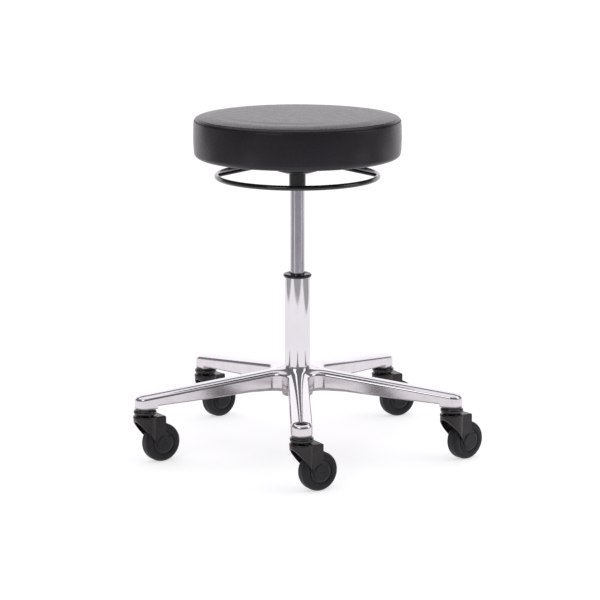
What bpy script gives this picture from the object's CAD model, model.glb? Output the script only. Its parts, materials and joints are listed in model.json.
import json
import math

import bmesh
import bpy
import numpy as np
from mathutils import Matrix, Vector


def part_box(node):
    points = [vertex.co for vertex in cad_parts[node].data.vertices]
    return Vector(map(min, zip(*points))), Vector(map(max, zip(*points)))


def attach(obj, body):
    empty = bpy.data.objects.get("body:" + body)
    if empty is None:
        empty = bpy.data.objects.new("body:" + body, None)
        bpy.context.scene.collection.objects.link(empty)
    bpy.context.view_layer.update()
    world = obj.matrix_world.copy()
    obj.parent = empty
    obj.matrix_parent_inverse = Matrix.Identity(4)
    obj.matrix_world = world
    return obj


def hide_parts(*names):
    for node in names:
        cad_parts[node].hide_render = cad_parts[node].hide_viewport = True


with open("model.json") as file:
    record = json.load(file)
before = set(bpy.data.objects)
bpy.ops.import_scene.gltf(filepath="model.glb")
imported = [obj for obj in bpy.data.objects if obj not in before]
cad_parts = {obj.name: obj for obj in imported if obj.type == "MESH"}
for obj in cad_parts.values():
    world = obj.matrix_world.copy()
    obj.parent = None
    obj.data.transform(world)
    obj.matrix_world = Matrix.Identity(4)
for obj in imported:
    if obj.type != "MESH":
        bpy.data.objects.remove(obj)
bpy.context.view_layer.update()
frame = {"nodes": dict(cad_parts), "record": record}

MM = 0.001

# ---- sizes read from the frame ---------------------------------------------------------------
JOINTS = {joint["name"]: joint for joint in frame["record"]["behaviour"]["joints"]}
CASTERS = (1, 2, 3, 4, 5)
STEMS = [Vector(JOINTS["caster_%d_swivel" % n]["pos_m"]) for n in CASTERS]
CASTER_REACH = STEMS[0].xy.length
TUBE_LOW, TUBE_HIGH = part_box("stand_tube")
TUBE_RADIUS = (TUBE_HIGH.x - TUBE_LOW.x) / 2
SEAT_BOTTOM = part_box("seat_side_band")[0].z
BASE_LOW, BASE_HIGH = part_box("star_base")
ARM_FIRST_ANGLE = math.atan2(STEMS[0].y, STEMS[0].x)


# ---- node helpers ----------------------------------------------------------------------------
class Shader:
    """A principled material under construction."""

    def __init__(self, name):
        self.material = bpy.data.materials.new(name)
        self.material.use_nodes = True
        self.nodes = self.material.node_tree.nodes
        self.links = self.material.node_tree.links
        self.bsdf = self.nodes["Principled BSDF"]
        self.coords = self.nodes.new("ShaderNodeTexCoord").outputs["Object"]
        self.bumps = None

    def set(self, **values):
        for key, value in values.items():
            self.bsdf.inputs[key.replace("_", " ")].default_value = value
        return self

    def stretched(self, scale):
        mapping = self.nodes.new("ShaderNodeMapping")
        mapping.inputs["Scale"].default_value = scale
        self.links.new(self.coords, mapping.inputs["Vector"])
        return mapping.outputs["Vector"]

    def noise(self, scale, detail=3.0, rough=0.5, vector=None):
        node = self.nodes.new("ShaderNodeTexNoise")
        node.inputs["Scale"].default_value = scale
        node.inputs["Detail"].default_value = detail
        node.inputs["Roughness"].default_value = rough
        self.links.new(vector or self.coords, node.inputs["Vector"])
        return node.outputs["Fac"]

    def cells(self, scale, feature="F1", vector=None):
        node = self.nodes.new("ShaderNodeTexVoronoi")
        node.feature = feature
        node.inputs["Scale"].default_value = scale
        self.links.new(vector or self.coords, node.inputs["Vector"])
        return node.outputs["Distance"]

    def ramp(self, value, stops):
        node = self.nodes.new("ShaderNodeValToRGB")
        elements = node.color_ramp.elements
        while len(elements) < len(stops):
            elements.new(0.5)
        for element, (place, colour) in zip(elements, stops):
            element.position = place
            element.color = (*colour, 1.0)
        self.links.new(value, node.inputs["Fac"])
        return node.outputs["Color"]

    def span(self, value, low, high, from_low=0.3, from_high=0.7):
        node = self.nodes.new("ShaderNodeMapRange")
        node.inputs["From Min"].default_value = from_low
        node.inputs["From Max"].default_value = from_high
        node.inputs["To Min"].default_value = low
        node.inputs["To Max"].default_value = high
        self.links.new(value, node.inputs["Value"])
        return node.outputs["Result"]

    def colour(self, value, dark, light, low=0.35, high=0.65):
        self.links.new(self.ramp(value, ((low, dark), (high, light))), self.bsdf.inputs["Base Color"])
        return self

    def roughness(self, value, low, high):
        self.links.new(self.span(value, low, high), self.bsdf.inputs["Roughness"])
        return self

    def bump(self, height, strength, distance):
        node = self.nodes.new("ShaderNodeBump")
        node.inputs["Strength"].default_value = strength
        node.inputs["Distance"].default_value = distance
        self.links.new(height, node.inputs["Height"])
        if self.bumps is not None:
            self.links.new(self.bumps, node.inputs["Normal"])
        self.bumps = node.outputs["Normal"]
        self.links.new(self.bumps, self.bsdf.inputs["Normal"])
        return self


# ---- materials -------------------------------------------------------------------------------
def vinyl():
    """Smooth matt synthetic leather with a fine pebbled grain."""
    s = Shader("upholstery_vinyl").set(Specular_IOR_Level=0.4)
    broad = s.noise(14, 4)
    grain = s.cells(950)
    s.colour(broad, (0.0125, 0.0120, 0.0145), (0.0165, 0.0158, 0.0185))
    s.bsdf.inputs["Specular Tint"].default_value = (1.0, 0.94, 1.0, 1)
    s.roughness(s.noise(60, 5), 0.26, 0.30)
    s.bump(grain, 0.08, 0.00012)
    s.bump(s.noise(24, 3), 0.02, 0.001)
    return s.material


def thread():
    """Black twisted sewing thread."""
    s = Shader("sewing_thread").set(Specular_IOR_Level=0.2)
    s.colour(s.noise(1500, 2), (0.002, 0.002, 0.002), (0.005, 0.005, 0.005))
    s.roughness(s.noise(900, 2), 0.6, 0.8)
    s.bump(s.noise(4200, 1), 0.4, 0.0001)
    return s.material


def polished_casting():
    """Mirror-polished aluminium with the faint unevenness of a buffed casting."""
    s = Shader("polished_aluminium").set(Metallic=1.0)
    s.colour(s.noise(9, 3), (0.80, 0.79, 0.815), (0.85, 0.84, 0.86))
    s.roughness(s.noise(35, 5), 0.055, 0.105)
    s.bump(s.noise(22, 2), 0.03, 0.0012)
    return s.material


def satin_casting():
    """The arms' upright sides: belt-ground aluminium."""
    s = Shader("ground_aluminium").set(Metallic=1.0)
    s.colour(s.noise(30, 3), (0.80, 0.775, 0.79), (0.85, 0.825, 0.84))
    lines = s.noise(40, 6, 0.6, s.stretched((1, 1, 40)))
    s.roughness(lines, 0.17, 0.25)
    s.bump(lines, 0.05, 0.0001)
    return s.material


def rough_casting():
    """The casting's unfinished underside."""
    s = Shader("cast_aluminium").set(Metallic=1.0)
    s.colour(s.noise(50, 4), (0.56, 0.53, 0.545), (0.70, 0.67, 0.68))
    s.roughness(s.noise(120, 4), 0.48, 0.62)
    s.bump(s.noise(420, 4, 0.65), 0.35, 0.0006)
    return s.material


def polished_tube():
    """Bright tube."""
    s = Shader("polished_tube").set(Metallic=1.0)
    s.colour(s.noise(12, 2), (0.82, 0.81, 0.83), (0.86, 0.85, 0.87))
    s.roughness(s.noise(50, 5), 0.04, 0.08)
    s.bump(s.noise(16, 2, 0.4, s.stretched((1, 1, 0.25))), 0.05, 0.0008)
    return s.material


def satin_cylinder():
    """Ground steel of the gas spring: fine rings round the tube."""
    s = Shader("satin_steel").set(Metallic=1.0)
    rings = s.noise(60, 5, 0.7, s.stretched((0.4, 0.4, 60)))
    s.colour(s.noise(18, 3), (0.60, 0.585, 0.63), (0.67, 0.655, 0.70))
    s.roughness(rings, 0.13, 0.20)
    s.bump(rings, 0.03, 0.00004)
    return s.material


def plain_steel(name, dark, light, rough):
    """Turned or plated steel of the small pieces."""
    s = Shader(name).set(Metallic=1.0)
    s.colour(s.noise(160, 3), dark, light)
    s.roughness(s.noise(300, 4), rough - 0.05, rough + 0.07)
    s.bump(s.noise(900, 3), 0.08, 0.0001)
    return s.material


def black_finish(name, dark, light, rough, coat=0.0, grain=700, depth=0.00012):
    """Black paint or moulded plastic: slightly uneven gloss and a fine surface grain."""
    shine = 0.4 if rough > 0.4 else 0.5
    s = Shader(name).set(Coat_Weight=coat, Coat_Roughness=0.08, Specular_IOR_Level=shine)
    s.colour(s.noise(45, 4), dark, light)
    s.roughness(s.noise(130, 4), rough - 0.05, rough + 0.06)
    s.bump(s.noise(grain, 3), 0.12, depth)
    return s.material


def foam():
    s = Shader("cushion_foam").set(Roughness=0.9)
    s.colour(s.noise(300, 4), (0.62, 0.56, 0.38), (0.74, 0.68, 0.48))
    s.bump(s.cells(700), 0.6, 0.0006)
    return s.material


def plywood():
    s = Shader("plywood")
    plies = s.noise(14, 4, 0.6, s.stretched((1, 8, 30)))
    s.colour(plies, (0.33, 0.21, 0.11), (0.55, 0.39, 0.23))
    s.roughness(s.noise(90, 4), 0.5, 0.65)
    s.bump(plies, 0.2, 0.0003)
    return s.material


def cloth():
    """Black spunbonded cloth under the seat."""
    s = Shader("underside_cloth").set(Sheen_Weight=0.2)
    s.colour(s.noise(700, 3), (0.012, 0.012, 0.013), (0.024, 0.024, 0.025))
    s.roughness(s.noise(500, 3), 0.7, 0.85)
    s.bump(s.cells(1300), 0.5, 0.0002)
    return s.material


BLACK_FINISHES = {
    "black_bush": ("gloss_black_plastic", (0.006, 0.006, 0.007), (0.011, 0.011, 0.012), 0.17),
    "black_enamel": ("black_enamel", (0.006, 0.006, 0.007), (0.012, 0.012, 0.013), 0.34, 0.2),
    "gloss_black_wire": ("gloss_black_enamel", (0.004, 0.004, 0.005), (0.008, 0.008, 0.009), 0.14, 0.6),
    "caster_enamel": ("caster_enamel", (0.010, 0.008, 0.008), (0.015, 0.012, 0.012), 0.27),
    "caster_cup": ("caster_cup", (0.006, 0.005, 0.005), (0.010, 0.008, 0.008), 0.12, 0.3),
    "caster_plastic": ("caster_plastic", (0.012, 0.012, 0.015), (0.017, 0.017, 0.020), 0.42, 0.0, 1200),
    "caster_tyre": ("caster_tyre", (0.011, 0.011, 0.014), (0.016, 0.016, 0.019), 0.46, 0.0, 500, 0.0002),
    "black_rubber": ("black_rubber", (0.01, 0.01, 0.01), (0.018, 0.018, 0.018), 0.7, 0.0, 400, 0.0003),
}


def make_materials():
    """One material for each finish, keyed by the record's slot names."""
    made = {
        "polished_aluminium": polished_casting(),
        "polished_tube": polished_tube(),
        "satin_cylinder": satin_cylinder(),
        "bearing_steel": plain_steel("bearing_steel", (0.50, 0.50, 0.52), (0.62, 0.62, 0.64), 0.22),
        "zinc_steel": plain_steel("zinc_plate", (0.56, 0.57, 0.60), (0.68, 0.69, 0.72), 0.32),
        "upholstery": vinyl(),
        "foam": foam(),
        "plywood": plywood(),
        "black_cloth": cloth(),
        "thread": thread(),
    }
    made.update({slot: black_finish(*look) for slot, look in BLACK_FINISHES.items()})
    return made


MATERIALS = make_materials()


def dress_cad_nodes():
    """Give every CAD node its slot's finish, but gloss to the caster cups and grease to their balls."""
    slots = {row["node"]: row["material_slot"] for row in frame["record"]["subparts"]}
    slots.update({"caster_%d_stem" % n: "caster_cup" for n in CASTERS}, swivel_balls="caster_cup")
    for name, obj in frame["nodes"].items():
        obj.data.materials.clear()
        obj.data.materials.append(MATERIALS[slots[name]])


# ---- mesh helpers ----------------------------------------------------------------------------
def new_object(name, verts, faces, materials, face_materials=None, smooth_angle=35.0):
    """A mesh object with shared materials and sharp edges only where the surface really turns."""
    mesh = bpy.data.meshes.new(name)
    mesh.from_pydata([tuple(v) for v in verts], [], faces)
    mesh.validate()
    for material in materials:
        mesh.materials.append(material)
    if face_materials is not None:
        mesh.polygons.foreach_set("material_index", face_materials)
    work = bmesh.new()
    work.from_mesh(mesh)
    bmesh.ops.remove_doubles(work, verts=work.verts, dist=2e-6)
    bmesh.ops.recalc_face_normals(work, faces=work.faces)
    work.to_mesh(mesh)
    work.free()
    mesh.shade_smooth()
    mesh.set_sharp_from_angle(angle=math.radians(smooth_angle))
    obj = bpy.data.objects.new(name, mesh)
    bpy.context.scene.collection.objects.link(obj)
    return obj


def arc(cx, cy, radius, start, end, steps):
    """Points of an arc, angles in degrees."""
    angles = [math.radians(start + (end - start) * k / steps) for k in range(steps + 1)]
    return [(cx + radius * math.cos(a), cy + radius * math.sin(a)) for a in angles]


# ---- star base -------------------------------------------------------------------------------
ARM_COUNT = 5
ARM_HALF_WIDTH = 20.0 * MM
FORK_ROUND = 28.0 * MM
EDGE_ROUND = 7.0 * MM
CROWN_RADIUS = 52.0 * MM
ARM_SLOPE = 0.115
TIP_TOP = 133.8 * MM
ARM_WALL = 4.5 * MM
RIM_ROUND = 1.2 * MM
HUB_TOP = BASE_HIGH.z
HUB_RIM = 26.2 * MM
HUB_FLARE = 43.0 * MM
HUB_BOTTOM = 112.0 * MM
HUB_BOSS = 30.0 * MM
RIB_STATIONS = (110 * MM, 165 * MM, 220 * MM)
RIB_HALF = 1.5 * MM
RIB_CLEAR = 1.5 * MM              # the ribs stop this far above the arms' lower edge
RIB_FILLET = 6.0 * MM             # a rib narrows over this height below the arm's ceiling
ROUGH_BAND = 4.2 * MM             # height of the unground band along the sides' foot near the hub
FIT_GAP = 0.02 * MM
BOSS_REACH = CASTER_REACH - ARM_HALF_WIDTH
TIP_BOSS_BOTTOM = BASE_LOW.z
UNDERSIDE = ((0.058, 0.127), (0.105, 0.1275), (0.196, 0.121), (0.267, 0.117), (0.340, 0.113))


def arm_top(reach):
    return TIP_TOP + ARM_SLOPE * (CASTER_REACH + ARM_HALF_WIDTH - reach)


def flare_circle():
    """Centre and radius of the hub's concave flare: tangent to the arms' top, through the rim."""
    start = Vector((HUB_FLARE, arm_top(HUB_FLARE)))
    end = Vector((HUB_RIM, HUB_TOP))
    normal = Vector((ARM_SLOPE, 1.0)).normalized()
    chord = end - start
    radius = chord.length_squared / (2 * chord.dot(normal))
    return start + normal * radius, radius


FLARE_CENTRE, FLARE_RADIUS = flare_circle()


def top_height(reach):
    """Height of the casting's top along its middle, flare included."""
    if reach >= HUB_FLARE:
        return arm_top(reach)
    across = reach - FLARE_CENTRE.x
    return FLARE_CENTRE.y - math.sqrt(max(FLARE_RADIUS ** 2 - across ** 2, 0.0))


def underside_height(reach):
    """Height of the arms' lower edge; the round boss under the tip reaches lower."""
    if reach > CASTER_REACH - ARM_HALF_WIDTH:
        return TIP_BOSS_BOTTOM
    radii, heights = zip(*UNDERSIDE)
    return float(np.interp(reach, radii, heights))


def sector_outline(index):
    """One sector's outline, from an arm's tip to the next: functions from an inset to a point."""
    first = ARM_FIRST_ANGLE + 2 * math.pi * index / ARM_COUNT
    half_turn = math.pi / ARM_COUNT
    bisector = first + half_turn
    fork_far = (ARM_HALF_WIDTH + FORK_ROUND) / math.sin(half_turn)
    fork_along = fork_far * math.cos(half_turn)
    samples = []

    def arm_point(angle, side, along, inset):
        across = side * (ARM_HALF_WIDTH - inset)
        return (along * math.cos(angle) - across * math.sin(angle),
                along * math.sin(angle) + across * math.cos(angle))

    def tip_point(angle, turn, inset):
        radius = ARM_HALF_WIDTH - inset
        return (CASTER_REACH * math.cos(angle) + radius * math.cos(angle + turn),
                CASTER_REACH * math.sin(angle) + radius * math.sin(angle + turn))

    def fork_point(turn, inset):
        radius = FORK_ROUND + inset
        return (fork_far * math.cos(bisector) + radius * math.cos(bisector + math.pi + turn),
                fork_far * math.sin(bisector) + radius * math.sin(bisector + math.pi + turn))

    tip_steps, fork_steps = 20, 26
    step_place = CASTER_REACH - ARM_HALF_WIDTH
    outer = [CASTER_REACH - k * (CASTER_REACH - step_place) / 6 for k in range(6)]
    middle = [step_place + 0.0011, step_place + 0.0001, step_place - 0.0011]
    inner = list(np.linspace(step_place - 0.006, fork_along, 46))
    alongs = outer + middle + inner
    for k in range(tip_steps):
        turn = math.pi / 2 * k / tip_steps
        samples.append(lambda inset, t=turn: tip_point(first, t, inset))
    for along in alongs[:-1]:
        samples.append(lambda inset, a=along: arm_point(first, 1, a, inset))
    sweep = math.pi / 2 - half_turn
    for k in range(fork_steps + 1):
        turn = sweep * (1 - 2 * k / fork_steps)
        samples.append(lambda inset, t=turn: fork_point(t, inset))
    second = first + 2 * half_turn
    for along in reversed(alongs[:-1]):
        samples.append(lambda inset, a=along: arm_point(second, -1, a, inset))
    for k in range(tip_steps - 1, 0, -1):
        turn = -math.pi / 2 * k / tip_steps
        samples.append(lambda inset, t=turn: tip_point(second, t, inset))
    return samples


def rounded_drop(inset):
    """How far the top has fallen at an inset from the outline: convex top, then a rounded edge."""
    across = ARM_HALF_WIDTH - min(inset, ARM_HALF_WIDTH)
    bend_centre = ARM_HALF_WIDTH - EDGE_ROUND
    bend_height = math.sqrt((CROWN_RADIUS - EDGE_ROUND) ** 2 - bend_centre ** 2) - CROWN_RADIUS
    meet = bend_centre * CROWN_RADIUS / (CROWN_RADIUS - EDGE_ROUND)
    if across <= meet:
        return CROWN_RADIUS - math.sqrt(CROWN_RADIUS ** 2 - across ** 2)
    return -(bend_height + math.sqrt(max(EDGE_ROUND ** 2 - (across - bend_centre) ** 2, 0.0)))


def star_casting():
    """The five-arm base as one smooth mesh: convex top, upright sides, hollow underside, bosses.

    Each row of points follows the outline; kind 0 is polished, 1 satin, 2 rough.
    """
    outline = []
    for index in range(ARM_COUNT):
        outline += sector_outline(index)
    count = len(outline)
    bend_centre = ARM_HALF_WIDTH - EDGE_ROUND
    meet = bend_centre * CROWN_RADIUS / (CROWN_RADIUS - EDGE_ROUND)
    start_turn = math.asin((meet - bend_centre) / EDGE_ROUND)
    top_insets = [ARM_HALF_WIDTH - meet * k / 14 for k in range(14)]
    turns = np.linspace(start_turn, math.pi / 2, 11)
    top_insets += [ARM_HALF_WIDTH - bend_centre - EDGE_ROUND * math.sin(t) for t in turns]
    verts, rows, kinds = [], [], []

    def add_row(points, kind):
        rows.append(list(range(len(verts), len(verts) + len(points))))
        verts.extend(points)
        kinds.append(kind)

    def scaled_row(height_at, there_at, kind):
        points = []
        for x, y in (p(ARM_HALF_WIDTH) for p in outline):
            reach = math.hypot(x, y)
            there = there_at(reach)
            points.append((x * there / reach, y * there / reach, height_at(there)))
        add_row(points, kind)

    scaled_row(lambda there: HUB_TOP, lambda reach: TUBE_RADIUS + FIT_GAP, 0)
    scaled_row(lambda there: HUB_TOP, lambda reach: HUB_RIM - 0.25 * MM, 0)
    for k in range(1, 20):
        scaled_row(top_height, lambda reach, share=(k / 20) ** 1.4: HUB_RIM + (reach - HUB_RIM) * share, 0)
    for inset in top_insets:
        points = []
        for p in outline:
            x, y = p(inset)
            points.append((x, y, top_height(math.hypot(x, y)) - rounded_drop(inset)))
        add_row(points, 0)

    def side_row(inset, lift, kind, rough_band=0.0):
        points = []
        for p in outline:
            x, y = p(inset)
            reach = math.hypot(*p(0.0))
            band = rough_band * max(0.0, 1 - max(reach - 0.05, 0.0) / 0.09) ** 0.6 if rough_band else 0.0
            points.append((x, y, underside_height(reach) + lift + band))
        add_row(points, kind)

    side_row(0.0, 2.0 * RIM_ROUND, 1, ROUGH_BAND)
    side_row(0.0, RIM_ROUND, 2)
    side_row(0.3 * RIM_ROUND, 0.3 * RIM_ROUND, 2)
    side_row(RIM_ROUND, 0.0, 2)
    side_row(ARM_WALL - 0.3 * RIM_ROUND, 0.0, 2)
    for inset in (ARM_WALL, ARM_WALL + 0.3 * MM, 7 * MM, 11 * MM, 15 * MM, ARM_HALF_WIDTH - 0.01 * MM):
        points = []
        for p in outline:
            x, y = p(inset)
            reach = math.hypot(x, y)
            high = top_height(reach) - rounded_drop(max(inset - ARM_WALL, 0.6 * ARM_WALL)) - ARM_WALL
            low = underside_height(math.hypot(*p(0.0)))
            step = min(max((reach - BOSS_REACH) / (2 * MM) + 0.5, 0.0), 1.0)
            if inset == ARM_WALL:
                high = low + 0.3 * RIM_ROUND
            points.append((x, y, high + (low - high) * step if step < 1 else low))
        add_row(points, 2)
    ceiling = lambda there: top_height(max(there, HUB_FLARE)) - ARM_WALL
    for share in (0.75, 0.5, 0.25, 0.0):
        scaled_row(ceiling, lambda reach, s=share: HUB_BOSS + (reach - HUB_BOSS) * s, 2)
    scaled_row(lambda there: HUB_BOTTOM + RIM_ROUND, lambda reach: HUB_BOSS, 2)
    scaled_row(lambda there: HUB_BOTTOM, lambda reach: HUB_BOSS - RIM_ROUND, 2)
    scaled_row(lambda there: HUB_BOTTOM, lambda reach: TUBE_RADIUS, 2)
    faces, face_kinds = [], []
    for a, b, kind in zip(rows, rows[1:], kinds[1:]):
        for k in range(count):
            n = (k + 1) % count
            faces.append((a[k], a[n], b[n], b[k]))
            face_kinds.append(kind)
    return verts, faces, face_kinds


def rib_plates():
    """Stiffening ribs across the hollow of each arm."""
    verts, faces = [], []
    half = ARM_HALF_WIDTH - ARM_WALL + 0.5 * MM
    for index in range(ARM_COUNT):
        angle = ARM_FIRST_ANGLE + 2 * math.pi * index / ARM_COUNT
        along = Vector((math.cos(angle), math.sin(angle), 0))
        across = Vector((-math.sin(angle), math.cos(angle), 0))
        for station in RIB_STATIONS:
            low, high = underside_height(station) + RIB_CLEAR, top_height(station) - ARM_WALL
            first = len(verts)
            shoulder, peak = high - RIB_FILLET, high - 1 * MM
            profile = [(-1, low), (1, low), (1, shoulder), (0.5, peak), (-0.5, peak), (-1, shoulder)]
            for side in (-1, 1):
                for share, height in profile:
                    level_place = along * (station + side * RIB_HALF) + across * half * share
                    verts.append(level_place + Vector((0, 0, height)))
            n = len(profile)
            for k in range(n):
                after = first + (k + 1) % n
                faces.append((first + k, after, after + n, first + n + k))
            faces += [tuple(first + k for k in reversed(range(n))), tuple(first + n + k for k in range(n))]
    return verts, faces


def make_star_base():
    verts, faces, kinds = star_casting()
    rib_verts, rib_faces = rib_plates()
    faces += [tuple(len(verts) + k for k in face) for face in rib_faces]
    kinds += [2] * len(rib_faces)
    verts += rib_verts
    materials = (MATERIALS["polished_aluminium"], satin_casting(), rough_casting())
    base = new_object("star_base_casting", verts, faces, materials, kinds, 40)
    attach(base, "base")
    return base


# ---- cushion ---------------------------------------------------------------------------------
EDGE_TOP = 661.5 * MM
CROWN = 3.5 * MM
LEVEL_RADIUS = 150.0 * MM
SEAT_RADIUS = 200.3 * MM
SIDE_BULGE = 1.4 * MM
TOP_ROLL = 10.0 * MM
LOW_ROLL = 11.0 * MM
COVER_RETURN = 168.0 * MM
SEAM_RADIUS = SEAT_RADIUS - TOP_ROLL + TOP_ROLL * math.cos(math.radians(70))
STITCH_PITCH = 6.0 * MM
STITCH_COUNT = round(2 * math.pi * (SEAT_RADIUS + SIDE_BULGE) / STITCH_PITCH)
STITCH_BELOW_SEAM = 7.6 * MM
STITCH_SHARE = 0.37               # half a stitch's length, as a share of the pitch
THREAD_RADIUS = 0.38 * MM
THREAD_SINK = 0.42 * MM
SIDE_WAVES = ((0.18, 5, 0.7), (0.14, 9, 2.1), (0.10, 14, 0.0))     # millimetres, count, start
SIDE_SINK = 0.42 * MM             # the side stays this far inside the CAD solid, so its waves do too
SWELL_LIMIT = 2.2 * MM
SMOOTH_WAVES = 6                  # waves of the swell round the cushion that are kept
SWELL_ROWS = 56
SWELL_SEGMENTS = 160
LAST_FRAME = 20


def cushion_section():
    """The cover's outer face from the top's middle to the turned-in edge, evenly spaced points."""
    top_centre = (SEAT_RADIUS - TOP_ROLL, EDGE_TOP - TOP_ROLL)
    low_centre = (SEAT_RADIUS - LOW_ROLL, SEAT_BOTTOM + LOW_ROLL)
    run = top_centre[0] - LEVEL_RADIUS
    crown_radius = (run ** 2 / CROWN + CROWN + 2 * TOP_ROLL) / 2
    crown_sweep = math.degrees(math.asin(run / (crown_radius - TOP_ROLL)))
    line = [(k * LEVEL_RADIUS / 40, EDGE_TOP + CROWN) for k in range(40)]
    line += arc(LEVEL_RADIUS, EDGE_TOP + CROWN - crown_radius, crown_radius, 90, 90 - crown_sweep, 90)[:-1]
    line += arc(*top_centre, TOP_ROLL, 90 - crown_sweep, 0, 60)[:-1]
    steps = 80
    for k in range(steps):
        share = k / steps
        bulge = SIDE_BULGE * 4 * share * (1 - share)
        line.append((SEAT_RADIUS + bulge, top_centre[1] + (low_centre[1] - top_centre[1]) * share))
    line += arc(*low_centre, LOW_ROLL, 0, -90, 60)[:-1]
    line += [(low_centre[0] + (COVER_RETURN - low_centre[0]) * k / 12, SEAT_BOTTOM) for k in range(13)]
    return np.array(line)


def resample(line, places):
    """Points of a polyline at given distances along it."""
    lengths = np.concatenate([[0], np.cumsum(np.linalg.norm(np.diff(line, axis=0), axis=1))])
    return np.stack([np.interp(places, lengths, line[:, k]) for k in (0, 1)], axis=1)


def run_length(line):
    return float(np.linalg.norm(np.diff(line, axis=0), axis=1).sum())


def simulated_swell(line, rows, segments):
    """Inflate a coarse copy of the cover with cloth physics: outward movement for each point."""
    places = np.linspace(0.012, run_length(line), rows)
    points = resample(line, places)
    slope = np.gradient(points, axis=0)
    normal = np.stack([-slope[:, 1], slope[:, 0]], axis=1)
    normal /= np.linalg.norm(normal, axis=1)[:, None]
    verts = []
    for step in range(segments):
        angle = 2 * math.pi * step / segments
        verts += [(r * math.cos(angle), r * math.sin(angle), z) for r, z in points]
    faces = []
    for step in range(segments):
        here, there = step * rows, ((step + 1) % segments) * rows
        faces += [(here + k, here + k + 1, there + k + 1, there + k) for k in range(rows - 1)]
    faces.append([step * rows for step in range(segments)])
    faces.append([step * rows + rows - 1 for step in reversed(range(segments))])
    mesh = bpy.data.meshes.new("swelling")
    mesh.from_pydata(verts, [], faces)
    obj = bpy.data.objects.new("swelling", mesh)
    bpy.context.scene.collection.objects.link(obj)
    pins = obj.vertex_groups.new(name="pins")
    seam_row = int(np.argmin(np.abs(points[:, 0] - SEAM_RADIUS) + np.abs(points[:, 1] - EDGE_TOP)))
    for row in range(rows):
        weight = 1.0 if row > rows - 4 else (0.75 if row == seam_row else 0.0)
        if weight:
            pins.add([step * rows + row for step in range(segments)], weight, "REPLACE")
    cloth = obj.modifiers.new("cloth", "CLOTH")
    cloth.settings.use_pressure = True
    cloth.settings.uniform_pressure_force = 4.0
    cloth.settings.vertex_group_mass = "pins"
    cloth.settings.effector_weights.gravity = 0.0
    cloth.settings.quality = 6
    cloth.settings.tension_stiffness = 25
    cloth.settings.compression_stiffness = 25
    cloth.settings.bending_stiffness = 2.0
    cloth.point_cache.frame_start, cloth.point_cache.frame_end = 1, LAST_FRAME
    scene = bpy.context.scene
    for frame_number in range(1, LAST_FRAME + 1):
        scene.frame_set(frame_number)
    shape = obj.evaluated_get(bpy.context.evaluated_depsgraph_get()).data
    moved = np.empty(len(shape.vertices) * 3)
    shape.vertices.foreach_get("co", moved)
    moved = moved.reshape(segments, rows, 3)
    start = np.array(verts).reshape(segments, rows, 3)
    angles = 2 * np.pi * np.arange(segments) / segments
    out = np.stack([np.cos(angles)[:, None] * normal[:, 0], np.sin(angles)[:, None] * normal[:, 0],
                    np.repeat(normal[None, :, 1], segments, axis=0)], axis=2)
    swell = ((moved - start) * out).sum(axis=2)
    scene.frame_set(1)
    bpy.data.objects.remove(obj)
    bpy.data.meshes.remove(mesh)
    return places, swell


def periodic(values, angles):
    """Values known at even steps round the circle, read at other angles."""
    count = len(values)
    place = (np.asarray(angles) / (2 * np.pi) * count) % count
    low = np.floor(place).astype(int) % count
    share = place - np.floor(place)
    return values[low] * (1 - share)[:, None] + values[(low + 1) % count] * share[:, None]


def dent(places, at, depth, width):
    """Depth of a rounded furrow at each distance along the section."""
    return depth * np.exp(-((places - at) / width) ** 2)


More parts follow.
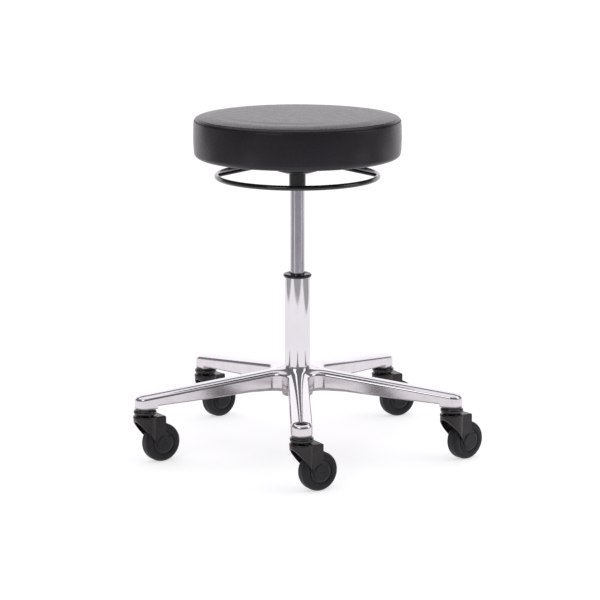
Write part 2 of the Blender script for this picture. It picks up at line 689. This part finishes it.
def make_cushion():
    """Upholstered cushion: drawn form, the simulated cover's slight unevenness, seam and top stitching."""
    line = cushion_section()
    total = run_length(line)
    radii = line[:, 0]
    lengths = np.concatenate([[0], np.cumsum(np.linalg.norm(np.diff(line, axis=0), axis=1))])
    seam = float(lengths[np.argmin(np.abs(radii - SEAM_RADIUS) + np.abs(line[:, 1] - 0.6609))])
    row_place = seam + STITCH_BELOW_SEAM
    fine = [np.linspace(0.004, seam - 0.012, 34), np.arange(seam - 0.011, seam + 0.0165, 0.0005),
            np.linspace(seam + 0.018, total, 46)]
    places = np.concatenate(fine)
    section = resample(line, places)
    slope = np.gradient(section, places, axis=0)
    normal = np.stack([-slope[:, 1], slope[:, 0]], axis=1)
    segments = STITCH_COUNT * 4
    angles = 2 * np.pi * np.arange(segments) / segments
    lift = np.zeros((segments, len(places)))
    coarse_places, swell = simulated_swell(line, SWELL_ROWS, SWELL_SEGMENTS)
    waves = np.fft.rfft(swell, axis=0)
    waves[SMOOTH_WAVES:] = 0
    swell = np.clip(np.fft.irfft(waves, n=len(swell), axis=0), -SWELL_LIMIT, SWELL_LIMIT)
    by_angle = periodic(swell, angles)
    lift = np.stack([np.interp(places, coarse_places, row) for row in by_angle])
    # each row keeps only how the swell differs round the cushion: all of it would leave the CAD solid
    lift -= np.maximum(lift.max(axis=0), 0.0)[None, :]
    print("simulated unevenness kept: down to %.2f mm" % (lift.min() / MM))
    # unevenness of stuffed vinyl: slight shallow waves round the side
    wave = sum(size * np.sin(count * angles + start) for size, count, start in SIDE_WAVES) * MM
    side = np.clip((places - seam - 0.012) / 0.02, 0, 1) * np.clip((total - places) / 0.05, 0, 1)
    lift = lift + (wave[:, None] - SIDE_SINK) * side[None, :]
    # seam groove and the pull of the top stitching
    spread = np.where(places < seam, 13 * MM, 5 * MM)
    groove = dent(places, seam, 0.7 * MM, 0.6 * MM) + dent(places, seam, 0.3 * MM, 2 * MM)
    groove = groove + dent(places, seam, 0.35 * MM, spread)
    lift = lift - groove[None, :]
    bar = dent(places, row_place, 0.6 * MM, 1.2 * MM)
    phase = 0.5 + 0.5 * np.cos(STITCH_COUNT * angles)
    dimple = dent(places, row_place, 1.0 * MM, 0.7 * MM)
    lift = lift - bar[None, :] - phase[:, None] ** 6 * dimple[None, :]
    radius = section[:, 0][None, :] + normal[:, 0][None, :] * lift
    height = section[:, 1][None, :] + normal[:, 1][None, :] * lift
    verts = np.stack([radius * np.cos(angles)[:, None], radius * np.sin(angles)[:, None], height], axis=2)
    rows = len(places)
    verts = [tuple(v) for v in verts.reshape(-1, 3)]
    top = len(verts)
    verts.append((0, 0, float(line[0, 1])))
    faces = []
    for step in range(segments):
        here, there = step * rows, ((step + 1) % segments) * rows
        faces += [(here + k, here + k + 1, there + k + 1, there + k) for k in range(rows - 1)]
        faces.append((top, here, there))
    faces.append([step * rows + rows - 1 for step in reversed(range(segments))])
    cushion = new_object("seat_cushion", verts, faces, [MATERIALS["upholstery"]], None, 60)
    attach(cushion, "seat")
    at = resample(line, np.array([row_place]))[0]
    slope_at = resample(line, np.array([row_place + 0.001]))[0] - at
    make_stitches(at, slope_at / np.linalg.norm(slope_at))
    return cushion


def capsule(start, end, radius, sides=8):
    """Vertices and faces of a short thread between two points, with rounded ends."""
    axis = (end - start).normalized()
    across = axis.orthogonal().normalized()
    other = axis.cross(across)
    length = (end - start).length
    rings = [(0.0, 0.35), (0.04, 0.75), (0.12, 1.0), (0.88, 1.0), (0.96, 0.75), (1.0, 0.35)]
    verts, faces = [], []
    for share, swell in rings:
        centre = start + axis * length * share
        for k in range(sides):
            turn = 2 * math.pi * k / sides
            verts.append(centre + (across * math.cos(turn) + other * math.sin(turn)) * radius * swell)
    for ring_index in range(len(rings) - 1):
        for k in range(sides):
            a, b = ring_index * sides + k, ring_index * sides + (k + 1) % sides
            faces.append((a, b, b + sides, a + sides))
    faces.append(tuple(reversed(range(sides))))
    faces.append(tuple(range((len(rings) - 1) * sides, len(rings) * sides)))
    return verts, faces


def make_stitches(at, down):
    """Thread of the top stitching: one short stitch between each pair of needle holes."""
    verts, faces = [], []
    outward = np.array([-down[1], down[0]])
    outward *= np.sign(outward[0])
    radius, height = at - outward * THREAD_SINK
    for index in range(STITCH_COUNT):
        middle = 2 * math.pi * (index + 0.5) / STITCH_COUNT
        half = STITCH_SHARE * 2 * math.pi / STITCH_COUNT
        angles = (middle - half, middle + half)
        ends = [Vector((radius * math.cos(a), radius * math.sin(a), height)) for a in angles]
        v, f = capsule(*ends, THREAD_RADIUS)
        base_index = len(verts)
        verts += v
        faces += [tuple(base_index + k for k in face) for face in f]
    row = new_object("seat_stitching", verts, faces, [MATERIALS["thread"]], None, 60)
    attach(row, "seat")


# ---- camera, floor and light -------------------------------------------------------------------
LENS = 149.718                    # millimetres on a 36 mm sensor
LOOK_DOWN = 0.2026                # radians below level


def make_camera():
    """The long lens that the stool is seen through, a little above the seat."""
    data = bpy.data.cameras.new("camera")
    data.sensor_width = 36.0
    data.lens = LENS
    camera = bpy.data.objects.new("camera", data)
    camera.location = (0.005, -4.7796, 1.2823)
    camera.rotation_euler = (math.pi / 2 - LOOK_DOWN, 0.0, 0.0)
    data.clip_end = 200
    bpy.context.scene.collection.objects.link(camera)
    bpy.context.scene.camera = camera


def stage_card(name, corners, grey, own_light=1.0):
    """A flat stage panel with an even glow and a trace of unevenness."""
    mesh = bpy.data.meshes.new(name)
    mesh.from_pydata(corners, [], [(0, 1, 2, 3)])
    card = bpy.data.objects.new(name, mesh)
    bpy.context.scene.collection.objects.link(card)
    s = Shader(name).set(Roughness=1.0, Specular_IOR_Level=0.0)
    matt = 0.8 if own_light < 1 else 0.0
    s.colour(s.noise(2, 3), (matt, matt, matt), (matt, matt, matt))
    tint = (1.0, 1.0, 1.0) if own_light < 1 else (1.0, 0.97, 1.01)
    s.bsdf.inputs["Emission Color"].default_value = (*(grey * t for t in tint), 1)
    s.bsdf.inputs["Emission Strength"].default_value = own_light
    mesh.materials.append(s.material)
    return card


def glossy_only(card):
    """Show a panel only in reflections, as a studio's flags and sweeps do."""
    card.visible_camera = False
    card.visible_diffuse = False
    card.visible_shadow = False
    card.visible_transmission = False


def level(x0, x1, y0, y1, z):
    return [(x0, y0, z), (x1, y0, z), (x1, y1, z), (x0, y1, z)]


FLOOR_GLOW = 0.62
SHEET_GLOW = 0.94
BACKDROP_GLOW = 1.1
SHADED_GLOW = 0.62
GROUND_GLOW = 0.38
POOL_GLOW = 1.0
ROOM_HALF = 60.0
BACKDROP_AT = 3.0
BACKDROP_HALF = 4.0
BACKDROP_TOP = 2.1
SWEEP_START = 0.8


def make_floor():
    """Pale floor; reflections see a white sheet round the stool on a greyer floor."""
    floor = stage_card("floor", level(-ROOM_HALF, ROOM_HALF, -ROOM_HALF, ROOM_HALF, 0), 1.0, FLOOR_GLOW)
    floor.visible_glossy = False
    left, right = -BACKDROP_HALF, BACKDROP_HALF
    wall_corners = ((left, -MM), (right, -MM), (right, BACKDROP_TOP), (left, BACKDROP_TOP))
    wall = [(x, BACKDROP_AT, z) for x, z in wall_corners]
    left_pool = [(x, y, -2 * MM) for x, y in ((-1.29, -1.53), (-2.19, -2.6), (-2.82, -1.9), (-1.66, -1.12))]
    right_pool = [(x, y, -2 * MM) for x, y in ((1.99, -0.21), (1.8, -0.88), (3.06, -1.49), (3.38, -0.36))]
    sweep = level(left, right, SWEEP_START, BACKDROP_AT, -MM)
    ground = level(-ROOM_HALF, ROOM_HALF, -ROOM_HALF, ROOM_HALF, -3 * MM)
    cards = (
        ("white_sheet", level(-1.5, 1.35, -1.48, SWEEP_START, -MM), SHEET_GLOW),
        ("white_sweep", sweep, SHEET_GLOW),
        ("white_backdrop", wall, BACKDROP_GLOW),
        ("shaded_sheet", level(-0.36, 0.36, -0.42, 0.34, -0.5 * MM), SHADED_GLOW),
        ("grey_ground", ground, GROUND_GLOW),
        ("left_pool", left_pool, POOL_GLOW),
        ("right_pool", right_pool, POOL_GLOW),
    )
    for name, corners, glow in cards:
        glossy_only(stage_card(name, corners, glow))


# sine of the elevation and grey of the room seen in reflections, towards the camera and behind the stool
FRONT_ROOM = ((-0.02, 0.10), (0.12, 0.05), (0.45, 0.2), (0.70, 0.2), (0.97, 1.0))
REAR_ROOM = ((0.0, 0.5), (0.15, 0.2), (0.63, 0.18), (0.73, 1.0))
ROOM_BLEND = ((-0.45, 0.0), (0.05, 1.0))


def make_world():
    """White to the camera; in reflections and as light: white behind and above, dark in front."""
    world = bpy.data.worlds.new("studio")
    world.use_nodes = True
    tree = world.node_tree
    nodes, links = tree.nodes, tree.links
    background = nodes["Background"]
    direction = nodes.new("ShaderNodeTexCoord").outputs["Generated"]
    axes = nodes.new("ShaderNodeSeparateXYZ")
    links.new(direction, axes.inputs["Vector"])

    def ramp(value, stops):
        node = nodes.new("ShaderNodeValToRGB")
        node.color_ramp.interpolation = "EASE"
        elements = node.color_ramp.elements
        while len(elements) < len(stops):
            elements.new(0.5)
        for element, (place, grey) in zip(elements, stops):
            element.position = 0.5 + place / 2
            element.color = (grey, grey * 0.965, grey * 1.01, 1)
        half = nodes.new("ShaderNodeMapRange")
        half.inputs["From Min"].default_value = -1
        links.new(value, half.inputs["Value"])
        links.new(half.outputs["Result"], node.inputs["Fac"])
        return node.outputs["Color"]

    def mixed(factor, first, second):
        node = nodes.new("ShaderNodeMix")
        node.data_type = "RGBA"
        links.new(factor, node.inputs[0])
        links.new(first, node.inputs[6])
        links.new(second, node.inputs[7])
        return node.outputs[2]

    front = ramp(axes.outputs["Z"], FRONT_ROOM)
    rear = ramp(axes.outputs["Z"], REAR_ROOM)
    side = ramp(axes.outputs["Y"], ROOM_BLEND)
    room = mixed(side, front, rear)
    white = nodes.new("ShaderNodeRGB")
    white.outputs[0].default_value = (1, 1, 1, 1)
    seen = nodes.new("ShaderNodeLightPath").outputs["Is Camera Ray"]
    links.new(mixed(seen, room, white.outputs[0]), background.inputs["Color"])
    background.inputs["Strength"].default_value = 1.0
    bpy.context.scene.world = world


def area_light(name, location, target, size, power):
    data = bpy.data.lights.new(name, "AREA")
    data.shape = "RECTANGLE"
    data.size, data.size_y = size
    data.energy = power
    light = bpy.data.objects.new(name, data)
    light.location = location
    light.rotation_euler = (Vector(target) - Vector(location)).to_track_quat("-Z", "Y").to_euler()
    bpy.context.scene.collection.objects.link(light)


SOFTBOXES = (("left_box", (-1.5, -2.7, 2.1), (1.6, 1.6), 11), ("right_box", (3.0, -0.5, 1.7), (1.5, 1.7), 10))


def make_studio():
    make_floor()
    make_world()
    for name, location, size, power in SOFTBOXES:
        area_light(name, location, (0, 0, 0.3), size, power)
    bpy.context.scene.view_settings.view_transform = "Standard"


# ---- build -----------------------------------------------------------------------------------
dress_cad_nodes()
base = make_star_base()
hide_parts("star_base")
cushion = make_cushion()
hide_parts("seat_foam", "seat_top_panel", "seat_side_band")
make_camera()
make_studio()
